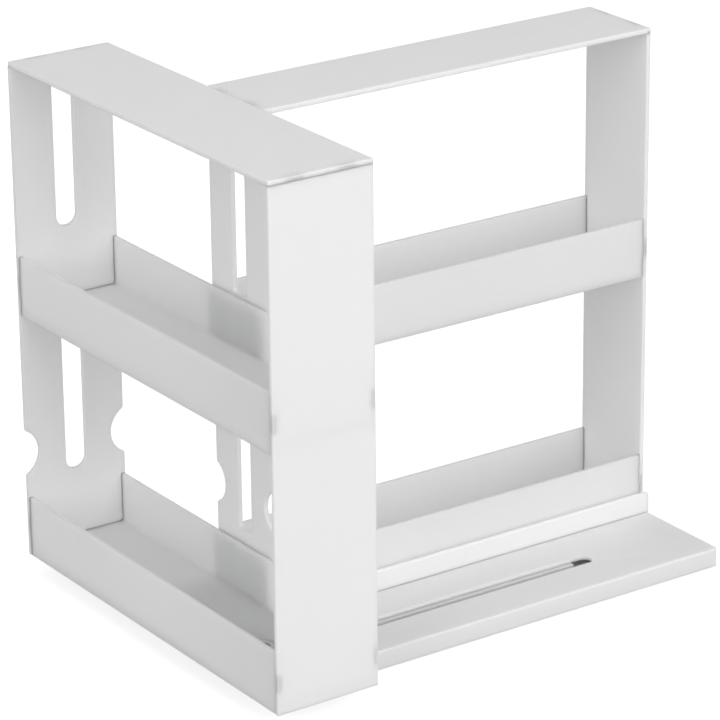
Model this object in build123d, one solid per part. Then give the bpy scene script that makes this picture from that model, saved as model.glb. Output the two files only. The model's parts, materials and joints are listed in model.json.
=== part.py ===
from build123d import *
import math
import os

# Slide-and-swivel double rack: a fixed two-tier rack and a swung-out one on a shared slotted base.
#
# Millimetres, +Z up.  Everything is drawn in a layout frame whose corner is the swung rack's outer
# corner on the floor, then moved so that the origin is the bottom centre of the whole bounding box.

# ---- racks -------------------------------------------------------------------------------------
RACK_H = 216.0          # height of one rack
RACK_L = 190.5          # length of one rack, over both end panels
SWUNG_W = 47.0          # width of the rack that slides and swivels
FIXED_W = 41.0          # width of the rack that stays on the base
PANEL = 2.0             # thickness of top and end panels
PANEL_EDGE_R = 0.6      # softening of the panels' upright edges
CAP_EDGE_R = 0.5        # softening of the top panel's upper edges
LIP = 1.8               # thickness of a tray's lips
LIP_EDGE_R = 0.5        # softening of the lips' top edges
FLOOR_CORNER_R = 1.4    # moulded corner between a lip and the floor
FLOOR = 2.0             # thickness of a tray's floor
FLOOR_TOP = 4.6         # floor surface above the tray's bottom edge
TRAY_INSET = 0.1        # trays sit this far inside the panels' edges
LOW_LIP_H = 26.2        # height of the bottom tray's lips
MID_LIP_H = 25.4        # height of the middle tray's lips
MID_Z = 107.6           # bottom edge of the middle tray above the rack's foot
TAB_L = 1.2             # tabs that plug the pieces together
TAB_H = 7.0
TAB_PLAY = 0.1
PANEL_TAB_WALLS = (0.6, 0.2)    # material in front of and behind the tab on an end panel
LIP_TAB_WALLS = (0.4, 0.2)      # material outside and inside the tab on a lip
THROUGH = 1.0           # how far a cut runs past the faces it opens

# ---- cut-outs of the slotted end panels ------------------------------------------------------------
SLOT_W = 10.0
SWUNG_SLOTS = ((142.0, 207.0), (34.0, 101.0))   # heights of both ends of each slot
SWUNG_SLOT_R = 4.9                              # corners of the slots
SWUNG_NOTCH = (46.0, 6.3, 11.0)                 # height, depth and radius of the finger notches
FIXED_SLOTS = ((134.0, 208.0), (32.0, 101.0))
FIXED_SLOT_R = 1.5
FIXED_NOTCH = (47.2, 6.2, 9.3)
NOTCH_CORNER_R = 1.6

# ---- base ------------------------------------------------------------------------------------------
FOOT_H = 0.8
FOOT_R = 6.0
DECK_X = (13.0, 239.5)
DECK_Y = (25.5, 117.0)
DECK_H = 8.0
DECK_SKIN = 1.6
DECK_WALL = 2.2
DECK_CORNER_R = 2.0
DECK_EDGE_R = 0.8
COVER_T = 1.4
COVER_PLAY = 0.15
DECK_TOP = FOOT_H + DECK_H
PIVOT = (23.5, 49.0)
GROOVE_W = 7.0
GROOVE_X = (17.5, 189.5)
SLIT_W = 3.0            # opening in the guide under the groove
GUIDE_END_X = 181.7     # the groove is open right through between here and its tip
GUIDE_W = 16.0
GUIDE_T = 1.4
GUIDE_PLAY = 0.3
RAIL_X = (48.6, 239.5)
RAIL_Y = (73.0, 75.3)
RAIL_H = 9.1
RAIL_R = 0.7
RAIL_TAB_HALF = 4.0
RAIL_TAB_WALL = 0.5

# ---- placing of the racks ----------------------------------------------------------------------------
FIXED_X0 = 48.0
FIXED_Y0 = 75.4
SWUNG_LIFT = 0.5        # swung rack's foot above the deck

# ---- swivel -------------------------------------------------------------------------------------------
POST_R = 3.0
RUN_FIT = 0.06
HUB_FLANGE_R = 14.0
HUB_FLANGE_T = 1.5
HUB_COLLAR_R = 6.0
HUB_WELL_R = 4.6        # well in the hub for the washer and the screw head
HUB_WELL_DEPTH = 1.8
GLIDE_R = (7.6, 10.5)
GLIDE_GAP = 0.06
AXIAL_PLAY = 0.3
WASHER_R = 4.3
WASHER_T = 0.6
WASHER_EDGE_R = 0.2
GROOVE_PLAY = 0.07      # play of the carriage against the groove's and slit's walls
STEM_GAP = 0.1          # groove disc to deck surface and to the guide
KEEPER_GAP = 0.3        # keeper to the guide's underside
KEEPER_T = 1.5
KEEPER_HALF = 3.3
PILOT_DEPTH = 3.6       # screw hole down the post
PIVOT_HEAD = (2.6, 0.9) # radius and height of the pivot screw's head
SCREW_HEAD_R = 3.0
SCREW_HEAD_H = 1.8
SCREW_R = 1.5
HUB_SCREWS = 3
HUB_SCREW_CIRCLE = 12.2
HUB_SCREW_R = 0.8
HUB_SCREW_HEAD = (1.3, 0.8)     # radius and height
HUB_SCREW_ROOF = 0.6    # tray floor left above the hub screws' holes
TIP_GAP = 0.2           # screw tip to the end of its hole

# ---- fasteners of the base --------------------------------------------------------------------------
BOSS_R = 3.4
BOSS_END = 0.6          # closed end of a screw boss
COVER_SCREW_R = 1.2
COVER_SCREW_L = 3.9
COVER_HEAD_R = 2.4
COVER_HEAD_SINK = 0.1
COVER_SCREW_INSET = 8.0
FASTENER_FIT = 0.05
RACK_SCREW_END = 25.0   # outer rack screws from the rack's ends
RACK_SCREW_MID = 20.0   # inner rack screws from the rack's middle
RACK_SCREW_STOP = 1.2   # rack screw tip above the cover
FOOT_INSET = (19.0, 9.0)
FOOT_MID_SHIFT = 18.0   # middle feet stand this far right of the base's middle
FOOT_EDGE_R = 0.25

# ---- screw heads, as shares of the head's own radius or height ----------------------------------------
HEAD_ROUND = 0.4
RECESS_FLOOR = 0.45
RECESS_REACH = 0.55
RECESS_ARM = 0.16

# ---- search distances for picking edges ---------------------------------------------------------------
ON_EDGE = 0.05
NEAR_CORNER = 0.8

SIZE_X = DECK_X[1]
SIZE_Y = RACK_L
ORIGIN = Location((-SIZE_X / 2, -SIZE_Y / 2, 0))
LOW = (Align.MIN, Align.MIN, Align.MIN)
UPRIGHT = (Align.CENTER, Align.CENTER, Align.MIN)


def block(x, y, z):
    """Box between pairs of coordinates."""
    size = (x[1] - x[0], y[1] - y[0], z[1] - z[0])
    return Pos(x[0], y[0], z[0]) * Box(*size, align=LOW)


def rod(x, y, z, radius):
    """Upright cylinder between two heights."""
    return Pos(x, y, z[0]) * Cylinder(radius, z[1] - z[0], align=UPRIGHT)


def stadium_x(x, y, z, width):
    """Round-ended bar along X, from tip to tip."""
    half = width / 2
    middle = block((x[0] + half, x[1] - half), (y - half, y + half), z)
    return middle + rod(x[0] + half, y, z, half) + rod(x[1] - half, y, z, half)


def rack_top(width):
    """Flat cap laid over both end panels."""
    cap = block((0, width), (0, RACK_L), (RACK_H - PANEL, RACK_H))
    cap = fillet(cap.edges().filter_by(Axis.Z), PANEL_EDGE_R)
    cap = fillet(cap.edges().group_by(Axis.Z)[-1], CAP_EDGE_R)
    socket = (RACK_H - PANEL, RACK_H - PANEL + TAB_L + TAB_PLAY)
    for y0 in (0, RACK_L - PANEL):
        for x in panel_tab_x(width):
            cap -= block(widened(x), widened(panel_tab_y(y0)), socket)
    return cap


def panel_tab_x(width):
    """X spans of the two tabs that hold an end panel to the top."""
    return [(width / 4 - TAB_H / 2, width / 4 + TAB_H / 2),
            (width * 3 / 4 - TAB_H / 2, width * 3 / 4 + TAB_H / 2)]


def panel_tab_y(y0):
    """Y span of the tab on an end panel whose outer or inner face is at y0."""
    return y0 + PANEL_TAB_WALLS[0], y0 + PANEL - PANEL_TAB_WALLS[1]


def widened(span):
    """Span of a socket that takes a tab of the given span."""
    return span[0] - TAB_PLAY, span[1] + TAB_PLAY


def tray_tabs(width, bottom, lip_h):
    """X and Z spans of the tabs at the ends of a tray's two lips."""
    z = (bottom + lip_h / 2 - TAB_H / 2, bottom + lip_h / 2 + TAB_H / 2)
    near = (TRAY_INSET + LIP_TAB_WALLS[0], TRAY_INSET + LIP - LIP_TAB_WALLS[1])
    far = (width - near[1], width - near[0])
    return [(near, z), (far, z)]


def joined_panel(panel, width, y0, socket_y):
    """Adds tabs for the top and blind sockets for the trays' tabs to an end panel."""
    for bottom, lip_h in ((0, LOW_LIP_H), (MID_Z, MID_LIP_H)):
        for x, z in tray_tabs(width, bottom, lip_h):
            panel -= block(widened(x), socket_y, widened(z))
    for x in panel_tab_x(width):
        panel += block(x, panel_tab_y(y0), (RACK_H - PANEL, RACK_H - PANEL + TAB_L))
    return panel


def solid_end(width):
    """Closed end panel at the rack's pivot end."""
    panel = block((0, width), (0, PANEL), (0, RACK_H - PANEL))
    panel = fillet(panel.edges().filter_by(Axis.Z), PANEL_EDGE_R)
    return joined_panel(panel, width, 0, (PANEL - TAB_L - TAB_PLAY, PANEL))


def slot_cut(width, z, corner_r):
    """Upright slot with rounded corners through the far end panel."""
    x = (width / 2 - SLOT_W / 2, width / 2 + SLOT_W / 2)
    cut = block(x, (RACK_L - 2 * PANEL, RACK_L + PANEL), z)
    return fillet(cut.edges().filter_by(Axis.Y), corner_r)


def slotted_end(width, slots, slot_r, notch):
    """Open end panel: two long slots and a finger notch in each long edge."""
    inner_y = RACK_L - PANEL
    panel = block((0, width), (inner_y, RACK_L), (0, RACK_H - PANEL))
    for z in slots:
        panel -= slot_cut(width, z, slot_r)
    notch_z, depth, radius = notch
    reach = radius - depth
    for x in (-reach, width + reach):
        disc = Cylinder(radius, 3 * PANEL, rotation=(90, 0, 0))
        panel -= Pos(x, RACK_L - PANEL / 2, notch_z) * disc
    panel = fillet(notch_corners(panel, width, notch), NOTCH_CORNER_R)
    return joined_panel(panel, width, inner_y, (inner_y, inner_y + TAB_L + TAB_PLAY))


def notch_corners(panel, width, notch):
    """Edges through the panel where a finger notch meets its long edge."""
    notch_z, depth, radius = notch
    half_chord = math.sqrt(radius ** 2 - (radius - depth) ** 2)
    found = []
    for edge in panel.edges().filter_by(Axis.Y):
        centre = edge.center()
        at_side = min(abs(centre.X), abs(centre.X - width)) < ON_EDGE
        at_chord = abs(abs(centre.Z - notch_z) - half_chord) < NEAR_CORNER
        if at_side and at_chord:
            found.append(edge)
    return found


def tray(width, bottom, lip_h):
    """Channel with a raised floor, a lip front and back, and tabs at its ends."""
    x = (TRAY_INSET, width - TRAY_INSET)
    y = (PANEL, RACK_L - PANEL)
    inner = (x[0] + LIP, x[1] - LIP)
    body = block(x, y, (bottom, bottom + lip_h))
    body -= block(inner, y, (bottom + FLOOR_TOP, bottom + lip_h))
    body -= block(inner, y, (bottom, bottom + FLOOR_TOP - FLOOR))
    body = fillet(long_edges(body, bottom + lip_h, width), LIP_EDGE_R)
    body = fillet(long_edges(body, bottom + FLOOR_TOP, width), FLOOR_CORNER_R)
    for tab_x, tab_z in tray_tabs(width, bottom, lip_h):
        body += block(tab_x, (PANEL - TAB_L, PANEL), tab_z)
        body += block(tab_x, (RACK_L - PANEL, RACK_L - PANEL + TAB_L), tab_z)
    return body


def long_edges(body, height, width):
    """Edges along a tray at one height, on both lips."""
    level = [edge for edge in body.edges().filter_by(Axis.Y) if abs(edge.center().Z - height) < ON_EDGE]
    return [edge for edge in level if 0 < edge.center().X < width]


def rack(prefix, width, slots, slot_r, notch):
    """The five moulded pieces of one rack, foot at z = 0 and closed end at y = 0."""
    return {
        prefix + "_top_panel": rack_top(width),
        prefix + "_solid_end": solid_end(width),
        prefix + "_slotted_end": slotted_end(width, slots, slot_r, notch),
        prefix + "_middle_tray": tray(width, MID_Z, MID_LIP_H),
        prefix + "_bottom_tray": tray(width, 0, LOW_LIP_H),
    }


def rack_screw_spots():
    """Layout positions of the screws that hold the fixed rack down."""
    y = FIXED_Y0 + FIXED_W / 2
    middle = RACK_L / 2
    along = (RACK_SCREW_END, middle - RACK_SCREW_MID, middle + RACK_SCREW_MID, RACK_L - RACK_SCREW_END)
    return [(FIXED_X0 + distance, y) for distance in along]


def inset_grid(inset_x, inset_y, middle_shift=0):
    """Three by two spots on the base, inset from its edges."""
    middle = (DECK_X[0] + DECK_X[1]) / 2 + middle_shift
    xs = (DECK_X[0] + inset_x, middle, DECK_X[1] - inset_x)
    return [(x, y) for x in xs for y in (DECK_Y[0] + inset_y, DECK_Y[1] - inset_y)]


def cover_screw_spots():
    """Layout positions of the screws that hold the bottom cover."""
    return inset_grid(COVER_SCREW_INSET, COVER_SCREW_INSET)


def foot_spots():
    """Layout positions of the anti-slip feet."""
    return inset_grid(*FOOT_INSET, FOOT_MID_SHIFT)


def base_deck():
    """Hollow moulded deck with the long groove opening through its skin."""
    deck = block(DECK_X, DECK_Y, (FOOT_H, DECK_TOP))
    deck = fillet(deck.edges().filter_by(Axis.Z), DECK_CORNER_R)
    deck = fillet(deck.edges().group_by(Axis.Z)[-1], DECK_EDGE_R)
    inside_x = (DECK_X[0] + DECK_WALL, DECK_X[1] - DECK_WALL)
    inside_y = (DECK_Y[0] + DECK_WALL, DECK_Y[1] - DECK_WALL)
    under_skin = DECK_TOP - DECK_SKIN
    deck -= block(inside_x, inside_y, (FOOT_H, under_skin))
    for x, y in cover_screw_spots():
        deck += rod(x, y, (FOOT_H + COVER_T, under_skin), BOSS_R)
        deck -= rod(x, y, (FOOT_H + COVER_T, under_skin - BOSS_END), COVER_SCREW_R + FASTENER_FIT)
    for x, y in rack_screw_spots():
        deck += rod(x, y, (FOOT_H + COVER_T, under_skin), BOSS_R)
        deck -= rod(x, y, (FOOT_H + COVER_T + BOSS_END, DECK_TOP), SCREW_R + FASTENER_FIT)
    deck -= stadium_x(GROOVE_X, PIVOT[1], (under_skin - THROUGH, DECK_TOP + THROUGH), GROOVE_W)
    for x in rail_tab_x():
        deck -= block(widened(x), widened(rail_tab_y()), (under_skin - THROUGH, DECK_TOP))
    return deck


def rail_tab_x():
    """X spans of the tabs under the rail."""
    pitch = (RAIL_X[1] - RAIL_X[0]) / 4
    middles = [RAIL_X[0] + pitch * n for n in (1, 2, 3)]
    return [(middle - RAIL_TAB_HALF, middle + RAIL_TAB_HALF) for middle in middles]


def rail_tab_y():
    """Y span of the tabs under the rail."""
    return RAIL_Y[0] + RAIL_TAB_WALL, RAIL_Y[1] - RAIL_TAB_WALL


def base_rail():
    """Upright strip along the fixed rack's foot."""
    rail = block(RAIL_X, RAIL_Y, (DECK_TOP, DECK_TOP + RAIL_H))
    rail = fillet(rail.edges().group_by(Axis.Z)[-1], RAIL_R)
    for x in rail_tab_x():
        rail += block(x, rail_tab_y(), (DECK_TOP - DECK_SKIN, DECK_TOP))
    return rail


def slot_guide():
    """Strip under the groove whose narrow slit keeps the carriage from lifting out."""
    top = DECK_TOP - DECK_SKIN
    z = (top - GUIDE_T, top)
    x = (DECK_X[0] + DECK_WALL + GUIDE_PLAY, GUIDE_END_X)
    strip = block(x, (PIVOT[1] - GUIDE_W / 2, PIVOT[1] + GUIDE_W / 2), z)
    slit_start = GROOVE_X[0] + GROOVE_W / 2
    slit_y = (PIVOT[1] - SLIT_W / 2, PIVOT[1] + SLIT_W / 2)
    strip -= block((slit_start, x[1] + THROUGH), slit_y, z)
    return strip - rod(slit_start, PIVOT[1], z, SLIT_W / 2)


def base_cover():
    """Flat plate closing the deck from below."""
    x = (DECK_X[0] + DECK_WALL + COVER_PLAY, DECK_X[1] - DECK_WALL - COVER_PLAY)
    y = (DECK_Y[0] + DECK_WALL + COVER_PLAY, DECK_Y[1] - DECK_WALL - COVER_PLAY)
    plate = block(x, y, (FOOT_H, FOOT_H + COVER_T))
    for spot in cover_screw_spots():
        plate -= rod(*spot, (FOOT_H, FOOT_H + COVER_T), COVER_SCREW_R + FASTENER_FIT)
        plate -= rod(*spot, (FOOT_H, FOOT_H + COVER_T / 2), COVER_HEAD_R + FASTENER_FIT)
    return plate


def cover_screws():
    """Countersunk screws driven up through the cover."""
    neck = FOOT_H + COVER_T / 2
    screws = []
    for spot in cover_screw_spots():
        shank = rod(*spot, (neck, neck + COVER_SCREW_L), COVER_SCREW_R)
        screws.append(shank + rod(*spot, (FOOT_H + COVER_HEAD_SINK, neck), COVER_HEAD_R))
    return screws


def feet():
    """Anti-slip discs under the cover."""
    discs = []
    for spot in foot_spots():
        disc = rod(*spot, (0, FOOT_H), FOOT_R)
        discs.append(fillet(disc.edges().group_by(Axis.Z)[0], FOOT_EDGE_R))
    return discs


def cross_screw(x, y, seat, length, head_r=SCREW_HEAD_R, head_h=SCREW_HEAD_H, shank_r=SCREW_R):
    """Pan-head screw pointing down, with a cross recess."""
    head = rod(x, y, (seat, seat + head_h), head_r)
    head = fillet(head.edges().group_by(Axis.Z)[-1], head_h * HEAD_ROUND)
    recess_z = (seat + head_h * RECESS_FLOOR, seat + head_h + THROUGH)
    reach = head_r * RECESS_REACH
    arm = head_r * RECESS_ARM
    head -= block((x - reach, x + reach), (y - arm, y + arm), recess_z)
    head -= block((x - arm, x + arm), (y - reach, y + reach), recess_z)
    return head + rod(x, y, (seat - length, seat), shank_r)


def fixed_rack_screws():
    """Screws from the fixed rack's bottom tray into the deck."""
    seat = DECK_TOP + FLOOR_TOP
    length = seat - (FOOT_H + COVER_T + RACK_SCREW_STOP)
    return [cross_screw(x, y, seat, length) for x, y in rack_screw_spots()]


def hub_levels():
    """Heights of the hub: underside, floor underside, bottom of its well and floor top."""
    floor_top = DECK_TOP + SWUNG_LIFT + FLOOR_TOP
    floor_under = floor_top - FLOOR
    return floor_under - HUB_FLANGE_T, floor_under, floor_top - HUB_WELL_DEPTH, floor_top


def hub_screw_spots():
    """Three points round the swivel hub."""
    spots = []
    for n in range(HUB_SCREWS):
        angle = math.radians(180 + 360 / HUB_SCREWS * n)
        spots.append((PIVOT[0] + HUB_SCREW_CIRCLE * math.cos(angle),
                      PIVOT[1] + HUB_SCREW_CIRCLE * math.sin(angle)))
    return spots


def swivel_hub():
    """Flanged bush under the swung rack's floor, turning on the carriage's post."""
    under, floor_under, well, floor_top = hub_levels()
    hub = rod(*PIVOT, (under, floor_under), HUB_FLANGE_R)
    hub += rod(*PIVOT, (floor_under, floor_top), HUB_COLLAR_R)
    hub -= rod(*PIVOT, (under, well), POST_R + RUN_FIT)
    hub -= rod(*PIVOT, (well, floor_top), HUB_WELL_R)
    for spot in hub_screw_spots():
        hub -= rod(*spot, (under, floor_under), HUB_SCREW_R + FASTENER_FIT)
    return hub


def hub_screws():
    """Small screws driven up through the hub's flange into the tray floor."""
    under, _, _, floor_top = hub_levels()
    length = floor_top - HUB_SCREW_ROOF - TIP_GAP - under
    screw = Rot(180, 0, 0) * cross_screw(0, 0, 0, length, *HUB_SCREW_HEAD, HUB_SCREW_R)
    return [Pos(x, y, under) * screw for x, y in hub_screw_spots()]


def glide_ring():
    """Low-friction ring on which the swung rack stands."""
    under = hub_levels()[0]
    z = (DECK_TOP + GLIDE_GAP, under)
    return rod(*PIVOT, z, GLIDE_R[1]) - rod(*PIVOT, z, GLIDE_R[0])


def carriage_stem():
    """Shuttle in the groove: groove disc, neck through the slit, keeper below and post above."""
    disc_z = (DECK_TOP - DECK_SKIN + STEM_GAP, DECK_TOP - STEM_GAP)
    keeper_top = DECK_TOP - DECK_SKIN - GUIDE_T - KEEPER_GAP
    post_top = hub_levels()[2] + AXIAL_PLAY
    stem = rod(*PIVOT, disc_z, GROOVE_W / 2 - GROOVE_PLAY)
    stem += rod(*PIVOT, (keeper_top, disc_z[0]), SLIT_W / 2 - GROOVE_PLAY)
    keeper_x = (PIVOT[0] - KEEPER_HALF, PIVOT[0] + KEEPER_HALF)
    keeper_y = (PIVOT[1] - KEEPER_HALF, PIVOT[1] + KEEPER_HALF)
    stem += block(keeper_x, keeper_y, (keeper_top - KEEPER_T, keeper_top))
    stem += rod(*PIVOT, (disc_z[1], post_top), POST_R)
    return stem - rod(*PIVOT, (post_top - PILOT_DEPTH, post_top), SCREW_R + FASTENER_FIT)


def pivot_washer():
    """Wide washer that keeps the swung rack on its post."""
    seat = hub_levels()[2] + AXIAL_PLAY
    ring = rod(*PIVOT, (seat, seat + WASHER_T), WASHER_R)
    ring = fillet(ring.edges().group_by(Axis.Z)[-1], WASHER_EDGE_R)
    return ring - rod(*PIVOT, (seat, seat + WASHER_T), SCREW_R + FASTENER_FIT)


def pivot_screw():
    """Screw that clamps the washer onto the post."""
    seat = hub_levels()[2] + AXIAL_PLAY + WASHER_T
    return cross_screw(*PIVOT, seat, PILOT_DEPTH, *PIVOT_HEAD)


def bored_tray(body):
    """Swung rack's bottom tray with the hole for the hub and blind holes for its screws."""
    _, floor_under, _, floor_top = hub_levels()
    low = floor_under - THROUGH
    body -= rod(*PIVOT, (low, floor_top + THROUGH), HUB_COLLAR_R + FASTENER_FIT)
    for spot in hub_screw_spots():
        body -= rod(*spot, (low, floor_top - HUB_SCREW_ROOF), HUB_SCREW_R + FASTENER_FIT)
    return body


def screwed_tray(body):
    """Fixed rack's bottom tray with its screw holes."""
    z = (DECK_TOP + THROUGH, DECK_TOP + FLOOR_TOP + THROUGH)
    for spot in rack_screw_spots():
        body -= rod(*spot, z, SCREW_R + FASTENER_FIT)
    return body


def swung_rack():
    """The rack that slides and swivels, placed square to the base."""
    placed = {}
    for name, shape in rack("swung", SWUNG_W, SWUNG_SLOTS, SWUNG_SLOT_R, SWUNG_NOTCH).items():
        placed[name] = Pos(0, 0, DECK_TOP + SWUNG_LIFT) * shape
    placed["swung_bottom_tray"] = bored_tray(placed["swung_bottom_tray"])
    return placed


def fixed_rack():
    """The rack that stands along the back of the base, closed end to +X."""
    seat = Pos(FIXED_X0 + RACK_L, FIXED_Y0, DECK_TOP) * Rot(0, 0, 90)
    pieces = rack("fixed", FIXED_W, FIXED_SLOTS, FIXED_SLOT_R, FIXED_NOTCH)
    placed = {name: seat * shape for name, shape in pieces.items()}
    placed["fixed_bottom_tray"] = screwed_tray(placed["fixed_bottom_tray"])
    return placed


def nodes():
    """Every named piece, in the layout frame."""
    pieces = {}
    pieces.update(swung_rack())
    pieces.update(fixed_rack())
    pieces["swivel_hub"] = swivel_hub()
    pieces["hub_screws"] = hub_screws()
    pieces["glide_ring"] = glide_ring()
    pieces["carriage_stem"] = carriage_stem()
    pieces["pivot_washer"] = pivot_washer()
    pieces["pivot_screw"] = pivot_screw()
    pieces["base_deck"] = base_deck()
    pieces["base_rail"] = base_rail()
    pieces["slot_guide"] = slot_guide()
    pieces["base_cover"] = base_cover()
    pieces["cover_screws"] = cover_screws()
    pieces["fixed_rack_screws"] = fixed_rack_screws()
    pieces["anti_slip_feet"] = feet()
    return pieces


def main():
    """Write one STEP file per node."""
    os.makedirs("parts", exist_ok=True)
    for name, shape in nodes().items():
        members = shape if isinstance(shape, list) else [shape]
        solids = [ORIGIN * solid for member in members for solid in member.solids()]
        whole = solids[0] if len(solids) == 1 else Compound(children=solids)
        whole.label = name
        export_step(whole, f"parts/{name}.step")
        print(name, len(solids), round(sum(s.volume for s in solids), 1))


main()
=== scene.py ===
import json
import math

import bpy
from mathutils import Matrix, Vector


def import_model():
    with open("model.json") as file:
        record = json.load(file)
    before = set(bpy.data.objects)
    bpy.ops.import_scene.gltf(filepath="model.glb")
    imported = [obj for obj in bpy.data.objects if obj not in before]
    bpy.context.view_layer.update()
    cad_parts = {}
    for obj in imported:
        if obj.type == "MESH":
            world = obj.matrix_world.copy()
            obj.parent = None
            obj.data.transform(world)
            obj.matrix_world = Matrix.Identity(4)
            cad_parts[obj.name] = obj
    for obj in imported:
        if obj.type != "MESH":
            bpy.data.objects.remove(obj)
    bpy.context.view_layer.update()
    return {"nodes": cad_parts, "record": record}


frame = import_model()
MM = 0.001

# ---- plastics ----------------------------------------------------------------------------------
WHITE = (0.92, 0.92, 0.922)
# painted light: the trays are the same white plastic as the panels, coloured lighter to lift the shade
# inside them
TRAY_PAINTED_LIGHT_WHITE = (0.96, 0.96, 0.961)
BASE_WHITE = (0.88, 0.88, 0.882)
GUIDE_GREY = (0.72, 0.72, 0.725)
NYLON = (0.74, 0.74, 0.72)
TRAY_SCATTER = 8.0 * MM     # how far light travels inside the trays' thin walls
PANEL_SCATTER = 2.5 * MM    # and inside the stiffer panels and the base
SCATTER_TINT = (1.0, 0.98, 0.95)
PLASTIC_IOR = 1.46
TONE_DROP = 0.018           # how much darker the mottled patches are
WARMTH = (1.0, 0.998, 0.988)
EDGE_HIGHLIGHT_GAIN = 1.05            # painted edge highlight: how much lighter convex edges are painted
POLISH = (-0.05, 0.06)      # spread of the roughness
CLOUD_SCALE = 14.0          # noise scales, in cycles per metre
POLISH_SCALE = 55.0
SINK_SCALE = 38.0
GRAIN_SCALE = 2600.0
GRAIN_SHARE = 0.12          # height of the fine grain against the slow sink marks
BUMP_STRENGTH = 0.35
BUMP_HEIGHT = 0.1 * MM

# ---- edges -------------------------------------------------------------------------------------
EDGE_BEVEL = 0.25 * MM      # moulded softness of the edges that are sharp in the CAD
BEVEL_STEPS = 2
BEVEL_FROM = 50             # degrees between faces from which an edge is softened
SOFT_EDGED = ("slotted_end", "slot_guide", "base_deck", "base_cover", "swivel_hub", "carriage_stem")

# ---- studio ------------------------------------------------------------------------------------
SKY = 0.46                  # brightness of the surroundings above the horizon
GROUND = 0.35               # and below it, as a pale floor gives back
HORIZON_BLEND = 0.25        # height over which one changes into the other
FLOOR_SIZE = 14
FLOOR_COLOUR = (0.93, 0.93, 0.93)
FLOOR_ROUGHNESS = 0.9
FLOOR_GLOW = 0.5
LAMP_AIM = (0, 0, 0.1)
LAMPS = {                   # place, size of the square lamp, power
    "front": ((0.0, -1.8, 0.7), 1.2, 12.5),
    "right": ((1.1, -1.3, 0.9), 1.0, 3.5),
    "left": ((-1.6, -0.7, 0.8), 1.0, 7.5),
    "top": ((-0.2, -0.2, 1.9), 1.6, 4.4),
}

# ---- camera ------------------------------------------------------------------------------------
CAMERA_AIM = (-0.03657, -0.03188, 0.1173)
CAMERA_TURN = (-34.37, 21.01, -0.628)       # azimuth, elevation and roll in degrees
CAMERA_DISTANCE = 1.5345
CAMERA_LENS = 192.75
CAMERA_SENSOR = 36.0
CAMERA_CLIP = (0.05, 100.0)


def node(tree, kind, **values):
    """Adds a shader node and sets its plain inputs by name."""
    made = tree.nodes.new(kind)
    for key, value in values.items():
        made.inputs[key.replace("_", " ")].default_value = value
    return made


def noise(tree, coords, scale, detail=3.0, roughness=0.55):
    """Noise driven by the object's own coordinates."""
    made = node(tree, "ShaderNodeTexNoise", Scale=scale, Detail=detail, Roughness=roughness)
    tree.links.new(coords, made.inputs["Vector"])
    return made.outputs["Fac"]


def remap(tree, source, low, high, from_low=0.35, from_high=0.65):
    """Maps a noise value onto a range."""
    made = node(tree, "ShaderNodeMapRange", From_Min=from_low, From_Max=from_high, To_Min=low, To_Max=high)
    tree.links.new(source, made.inputs["Value"])
    return made.outputs["Result"]


def tinted(tree, factor, first, second):
    """Mix of two colours by a factor socket."""
    mix = tree.nodes.new("ShaderNodeMix")
    mix.data_type = "RGBA"
    mix.inputs["A"].default_value = (*first, 1)
    mix.inputs["B"].default_value = (*second, 1)
    tree.links.new(factor, mix.inputs["Factor"])
    return mix.outputs["Result"]


def edge_highlight_mask(tree, low=0.515, high=0.60):
    """Mask of the painted edge highlight: high on convex edges only, from the geometry's pointiness."""
    geometry = tree.nodes.new("ShaderNodeNewGeometry")
    return remap(tree, geometry.outputs["Pointiness"], 0.0, 1.0, low, high)


def scaled(colour, *factors):
    """Colour times one factor, or times one factor per channel."""
    gains = factors if len(factors) == 3 else factors * 3
    return tuple(min(1.0, channel * gain) for channel, gain in zip(colour, gains))


def blank_material(name):
    """New material with its node tree, shader and object coordinates."""
    material = bpy.data.materials.new(name)
    material.use_nodes = True
    tree = material.node_tree
    coords = tree.nodes.new("ShaderNodeTexCoord").outputs["Object"]
    return material, tree, tree.nodes["Principled BSDF"], coords


def bump(tree, shader, height, strength, distance):
    """Turns a height socket into the shader's normal."""
    made = node(tree, "ShaderNodeBump", Strength=strength, Distance=distance)
    tree.links.new(height, made.inputs["Height"])
    tree.links.new(made.outputs["Normal"], shader.inputs["Normal"])


def plastic(name, colour, roughness=0.46, scatter=PANEL_SCATTER):
    """Moulded plastic: faint mottling, fine moulded grain, and a painted highlight that lightens convex
    edges.
    """
    material, tree, shader, coords = blank_material(name)
    cloud = remap(tree, noise(tree, coords, CLOUD_SCALE), 0.0, 1.0)
    base = tinted(tree, cloud, scaled(colour, 1 - TONE_DROP), scaled(colour, *WARMTH))
    # painted highlight: convex edges get a lighter colour than the rest of the plastic
    edge_highlight_mix = tree.nodes.new("ShaderNodeMix")
    edge_highlight_mix.data_type = "RGBA"
    edge_highlight_mix.inputs["B"].default_value = (*scaled(colour, EDGE_HIGHLIGHT_GAIN), 1)
    tree.links.new(base, edge_highlight_mix.inputs["A"])
    tree.links.new(edge_highlight_mask(tree), edge_highlight_mix.inputs["Factor"])
    tree.links.new(edge_highlight_mix.outputs["Result"], shader.inputs["Base Color"])
    patches = noise(tree, coords, POLISH_SCALE, 4.0)
    polish = remap(tree, patches, roughness + POLISH[0], roughness + POLISH[1])
    tree.links.new(polish, shader.inputs["Roughness"])
    shader.inputs["IOR"].default_value = PLASTIC_IOR
    shader.inputs["Subsurface Weight"].default_value = 1.0
    shader.inputs["Subsurface Radius"].default_value = SCATTER_TINT
    shader.inputs["Subsurface Scale"].default_value = scatter
    total = tree.nodes.new("ShaderNodeMath")
    total.operation = "MULTIPLY_ADD"
    total.inputs[1].default_value = GRAIN_SHARE
    tree.links.new(noise(tree, coords, GRAIN_SCALE, 2.0), total.inputs[0])
    tree.links.new(noise(tree, coords, SINK_SCALE, 2.0), total.inputs[2])
    bump(tree, shader, total.outputs["Value"], BUMP_STRENGTH, BUMP_HEIGHT)
    return material


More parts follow.
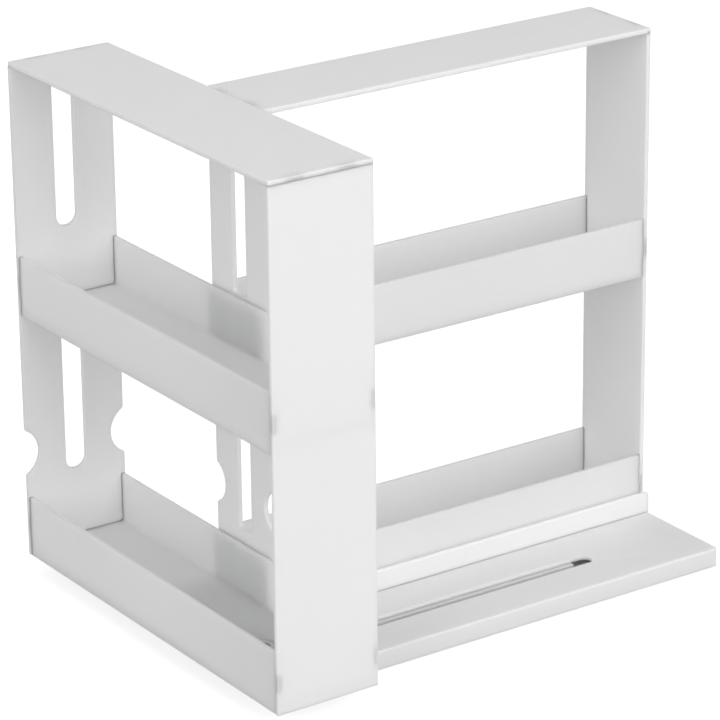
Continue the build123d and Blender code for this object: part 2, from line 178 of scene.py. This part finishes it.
def steel(name):
    """Zinc-plated screw steel with a speckled, finely pitted surface."""
    material, tree, shader, coords = blank_material(name)
    spots = remap(tree, noise(tree, coords, 900.0, 4.0), 0.0, 1.0)
    colour = tinted(tree, spots, (0.50, 0.51, 0.53), (0.66, 0.67, 0.68))
    tree.links.new(colour, shader.inputs["Base Color"])
    shader.inputs["Metallic"].default_value = 1.0
    polish = remap(tree, noise(tree, coords, 1500.0), 0.24, 0.42)
    tree.links.new(polish, shader.inputs["Roughness"])
    bump(tree, shader, noise(tree, coords, 4000.0, 2.0), 0.25, 0.02 * MM)
    return material


def rubber(name):
    """Soft grey foot rubber with a dusty, matt surface."""
    material, tree, shader, coords = blank_material(name)
    dust = remap(tree, noise(tree, coords, 300.0, 4.0), 0.0, 1.0)
    colour = tinted(tree, dust, (0.30, 0.30, 0.30), (0.40, 0.40, 0.39))
    tree.links.new(colour, shader.inputs["Base Color"])
    polish = remap(tree, noise(tree, coords, 120.0), 0.72, 0.9)
    tree.links.new(polish, shader.inputs["Roughness"])
    bump(tree, shader, noise(tree, coords, 2500.0), 0.4, 0.03 * MM)
    return material


MATERIALS = {
    "rack_plastic": plastic("rack_plastic", WHITE),
    "tray_plastic_painted_light": plastic("tray_plastic_painted_light", TRAY_PAINTED_LIGHT_WHITE, scatter=TRAY_SCATTER),
    "base_plastic": plastic("base_plastic", BASE_WHITE, roughness=0.50),
    "guide_plastic": plastic("guide_plastic", GUIDE_GREY, roughness=0.55),
    "nylon": plastic("nylon", NYLON, roughness=0.40),
    "screw_steel": steel("screw_steel"),
    "foot_rubber": rubber("foot_rubber"),
}


def dress_cad_nodes():
    """Gives every CAD node its procedural material, and the sharp ones a small bevel."""
    slots = {part["node"]: part["material_slot"] for part in frame["record"]["subparts"]}
    for name, item in frame["nodes"].items():
        # trays take the lighter copy of the panel plastic, painted light that brightens their shaded
        # insides
        slot = "tray_plastic_painted_light" if name.endswith("_tray") else slots[name]
        item.data.materials.clear()
        item.data.materials.append(MATERIALS[slot])
        if name.endswith(SOFT_EDGED):
            soften(item)


def soften(item):
    """Small bevel on an object's sharp edges."""
    bevel = item.modifiers.new("soft_edges", "BEVEL")
    bevel.width = EDGE_BEVEL
    bevel.segments = BEVEL_STEPS
    bevel.limit_method = "ANGLE"
    bevel.angle_limit = math.radians(BEVEL_FROM)


def floor():
    """Large pale floor under the object, glowing a little so that it stays white."""
    material = bpy.data.materials.new("studio_floor")
    material.use_nodes = True
    shader = material.node_tree.nodes["Principled BSDF"]
    shader.inputs["Base Color"].default_value = (*FLOOR_COLOUR, 1)
    shader.inputs["Roughness"].default_value = FLOOR_ROUGHNESS
    shader.inputs["Emission Color"].default_value = (1, 1, 1, 1)
    shader.inputs["Emission Strength"].default_value = FLOOR_GLOW
    bpy.ops.mesh.primitive_plane_add(size=FLOOR_SIZE, location=(0, 0, 0))
    made = bpy.context.object
    made.name = "studio_floor"
    made.visible_diffuse = False
    made.data.materials.append(material)


def area_light(name, place, size, power):
    """Soft square lamp pointed at the object."""
    data = bpy.data.lights.new(name, "AREA")
    data.size = size
    data.energy = power
    lamp = bpy.data.objects.new(name, data)
    bpy.context.scene.collection.objects.link(lamp)
    lamp.location = place
    lamp.rotation_euler = (Vector(LAMP_AIM) - Vector(place)).to_track_quat("-Z", "Y").to_euler()


def world():
    """White surroundings, with one brightness above the horizon and one below it."""
    scene_world = bpy.data.worlds.new("studio")
    bpy.context.scene.world = scene_world
    scene_world.use_nodes = True
    tree = scene_world.node_tree
    background = tree.nodes["Background"]
    background.inputs["Color"].default_value = (1, 1, 1, 1)
    direction = tree.nodes.new("ShaderNodeTexCoord").outputs["Generated"]
    split = tree.nodes.new("ShaderNodeSeparateXYZ")
    tree.links.new(direction, split.inputs["Vector"])
    glow = remap(tree, split.outputs["Z"], GROUND, SKY, -HORIZON_BLEND, HORIZON_BLEND)
    tree.links.new(glow, background.inputs["Strength"])


def camera():
    """Camera that looks at a spot from a given direction and is rolled about its line of sight."""
    data = bpy.data.cameras.new("camera")
    data.sensor_width = CAMERA_SENSOR
    data.lens = CAMERA_LENS
    data.clip_start, data.clip_end = CAMERA_CLIP
    item = bpy.data.objects.new("camera", data)
    bpy.context.scene.collection.objects.link(item)
    azimuth, elevation, roll = (math.radians(angle) for angle in CAMERA_TURN)
    back = Vector((math.sin(azimuth) * math.cos(elevation),
                   -math.cos(azimuth) * math.cos(elevation),
                   math.sin(elevation)))
    level = Vector((0, 0, 1)).cross(back).normalized()
    upright = back.cross(level)
    right = level * math.cos(roll) + upright * math.sin(roll)
    up = upright * math.cos(roll) - level * math.sin(roll)
    place = Matrix.Translation(Vector(CAMERA_AIM) + back * CAMERA_DISTANCE)
    item.matrix_world = place @ Matrix((right, up, back)).transposed().to_4x4()
    bpy.context.scene.camera = item


dress_cad_nodes()
floor()
world()
for lamp_name, (lamp_place, lamp_size, lamp_power) in LAMPS.items():
    area_light(lamp_name, lamp_place, lamp_size, lamp_power)
camera()
bpy.context.scene.view_settings.view_transform = "Standard"
